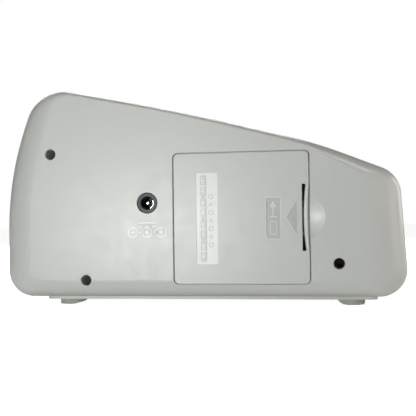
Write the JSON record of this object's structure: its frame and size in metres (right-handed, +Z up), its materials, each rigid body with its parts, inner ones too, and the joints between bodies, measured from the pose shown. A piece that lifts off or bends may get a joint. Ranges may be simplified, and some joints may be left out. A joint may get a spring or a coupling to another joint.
{
  "type": "punch time clock",
  "caption": "Desk-top punch time clock in a wedge-shaped grey plastic casing, with card slot, printer, display, keys, battery door and power socket",
  "frame": {"origin": "on the table, under the middle of the casing", "axes": "+Z up, +Y towards the back with the battery door and socket, +X towards the tall end"},
  "size_m": [0.1971, 0.074, 0.1069],
  "materials": {
    "casing_plastic": "fine spark-eroded moulded grey",
    "dark_plastic": "moulded charcoal",
    "key_plastic": "satin moulded",
    "knob_plastic": "moulded blue",
    "mechanism_plastic": "natural acetal",
    "screw_steel": "black zinc plate",
    "bright_metal": "nickel plate",
    "sheet_steel": "zinc-plated sheet",
    "cast_metal": "black anodised casting",
    "motor_can": "drawn can",
    "black_rubber": "ground rubber",
    "contact_rubber": "striped elastomer",
    "foot_rubber": "moulded grey",
    "ribbon_fabric": "inked nylon weave",
    "window_acrylic": "smoked clear acrylic",
    "lcd_glass": "grey-green liquid crystal cell",
    "board_laminate": "green solder mask",
    "chip_plastic": "moulded epoxy",
    "capacitor_can": "sleeved can",
    "battery_jacket": "shrunk label sleeve"
  },
  "bodies": {
    "casing": {"backup_cell": "bright_metal", "backup_cell_holder": "dark_plastic", "battery_1": "battery_jacket", "battery_2": "battery_jacket", "battery_3": "battery_jacket", "battery_4": "battery_jacket", "battery_spring_contacts": "bright_metal", "battery_tip_contacts": "bright_metal", "board_connectors": "mechanism_plastic", "board_screws": "screw_steel", "buzzer": "chip_plastic", "capacitors": "capacitor_can", "card_slot_bezel": "dark_plastic", "card_switch": "dark_plastic", "carriage_motor": "motor_can", "case_screws": "screw_steel", "cassette_lid": "dark_plastic", "circuit_chips": "chip_plastic", "crystal": "bright_metal", "display_window": "window_acrylic", "drive_plate": "sheet_steel", "feed_motor": "motor_can", "feet": "foot_rubber", "frame_screws": "screw_steel", "frame_spacers": "sheet_steel", "front_shell": "casing_plastic", "guide_shafts": "bright_metal", "ink_ribbon": "ribbon_fabric", "jack_contact": "bright_metal", "jack_housing": "dark_plastic", "jack_pin": "bright_metal", "lcd_bezel": "dark_plastic", "lcd_contact_strips": "contact_rubber", "lcd_glass": "lcd_glass", "main_board": "board_laminate", "platen": "black_rubber", "printer_frame": "sheet_steel", "rear_frame": "sheet_steel", "rear_shell": "casing_plastic", "ribbon_cassette": "dark_plastic", "tact_switches": "chip_plastic", "timing_belt": "black_rubber"},
    "battery_door": {"battery_door": "casing_plastic"},
    "ribbon_door": {"ribbon_door": "casing_plastic"},
    "carriage": {"head_carriage": "mechanism_plastic", "print_head": "cast_metal"},
    "motor_pulley": {"motor_pulley": "mechanism_plastic"},
    "idler_pulley": {"idler_pulley": "mechanism_plastic"},
    "ribbon_knob": {"ribbon_knob": "knob_plastic"},
    "feed_roller": {"feed_shaft": "bright_metal", "feed_rollers": "black_rubber", "feed_gear": "mechanism_plastic"},
    "feed_pinion": {"feed_pinion": "mechanism_plastic"},
    "pinch_roller": {"pinch_shaft": "bright_metal", "pinch_rollers": "mechanism_plastic"},
    "card_lever": {"card_switch_lever": "mechanism_plastic"},
    "mode_key": {"mode_key": "key_plastic"},
    "set_key": {"set_key": "key_plastic"},
    "down_key": {"down_key": "key_plastic"},
    "up_key": {"up_key": "key_plastic"}
  },
  "joints": [
    {"name": "battery_door_hinge", "type": "hinge", "parent": "casing", "child": "battery_door", "pos_m": [0.01035, 0.037, 0.042], "axis": [0, 0, -1], "range_deg": [0, 65]},
    {"name": "ribbon_door_hinge", "type": "hinge", "parent": "casing", "child": "ribbon_door", "pos_m": [0.029, -0.0355, 0.0164], "axis": [1, 0, 0], "range_deg": [0, 90]},
    {"name": "carriage_slide", "type": "slide", "parent": "casing", "child": "carriage", "axis": [1, 0, 0], "range_m": [0, 0.043]},
    {"name": "motor_pulley_turn", "type": "hinge", "parent": "casing", "child": "motor_pulley", "pos_m": [0.0603, -0.0274, 0.0695], "axis": [0, 1, 0], "range_deg": [-537.1, 0]},
    {"name": "idler_pulley_turn", "type": "hinge", "parent": "casing", "child": "idler_pulley", "pos_m": [-0.003, -0.0274, 0.0695], "axis": [0, 1, 0], "range_deg": [-537.1, 0]},
    {"name": "ribbon_knob_turn", "type": "hinge", "parent": "casing", "child": "ribbon_knob", "pos_m": [0.05, -0.0295, 0.02575], "axis": [0, 1, 0], "continuous": true},
    {"name": "feed_roller_turn", "type": "hinge", "parent": "casing", "child": "feed_roller", "pos_m": [0.02, -0.0023, 0.072], "axis": [1, 0, 0], "continuous": true},
    {"name": "feed_pinion_turn", "type": "hinge", "parent": "casing", "child": "feed_pinion", "pos_m": [-0.029, 0.00605, 0.06499], "axis": [1, 0, 0], "continuous": true},
    {"name": "pinch_roller_turn", "type": "hinge", "parent": "casing", "child": "pinch_roller", "pos_m": [0.02, -0.0137, 0.072], "axis": [1, 0, 0], "continuous": true},
    {"name": "card_lever_hinge", "type": "hinge", "parent": "casing", "child": "card_lever", "pos_m": [-0.018, -0.0025, 0.044], "axis": [-1, 0, 0], "range_deg": [0, 12], "stiffness_Nm_per_rad": 0.002},
    {"name": "mode_key_press", "type": "slide", "parent": "casing", "child": "mode_key", "axis": [0, 1, 0], "range_m": [0, 0.001], "stiffness_N_per_m": 150},
    {"name": "set_key_press", "type": "slide", "parent": "casing", "child": "set_key", "axis": [0, 1, 0], "range_m": [0, 0.001], "stiffness_N_per_m": 150},
    {"name": "down_key_press", "type": "slide", "parent": "casing", "child": "down_key", "axis": [0, 1, 0], "range_m": [0, 0.001], "stiffness_N_per_m": 150},
    {"name": "up_key_press", "type": "slide", "parent": "casing", "child": "up_key", "axis": [0, 1, 0], "range_m": [0, 0.001], "stiffness_N_per_m": 150}
  ],
  "couplings": [
    {"joint": "motor_pulley_turn", "follows": "carriage_slide", "rad_per_m": -217.39},
    {"joint": "idler_pulley_turn", "follows": "carriage_slide", "rad_per_m": -217.39},
    {"joint": "feed_pinion_turn", "follows": "feed_roller_turn", "ratio": -2},
    {"joint": "pinch_roller_turn", "follows": "feed_roller_turn", "ratio": -1.2}
  ]
}
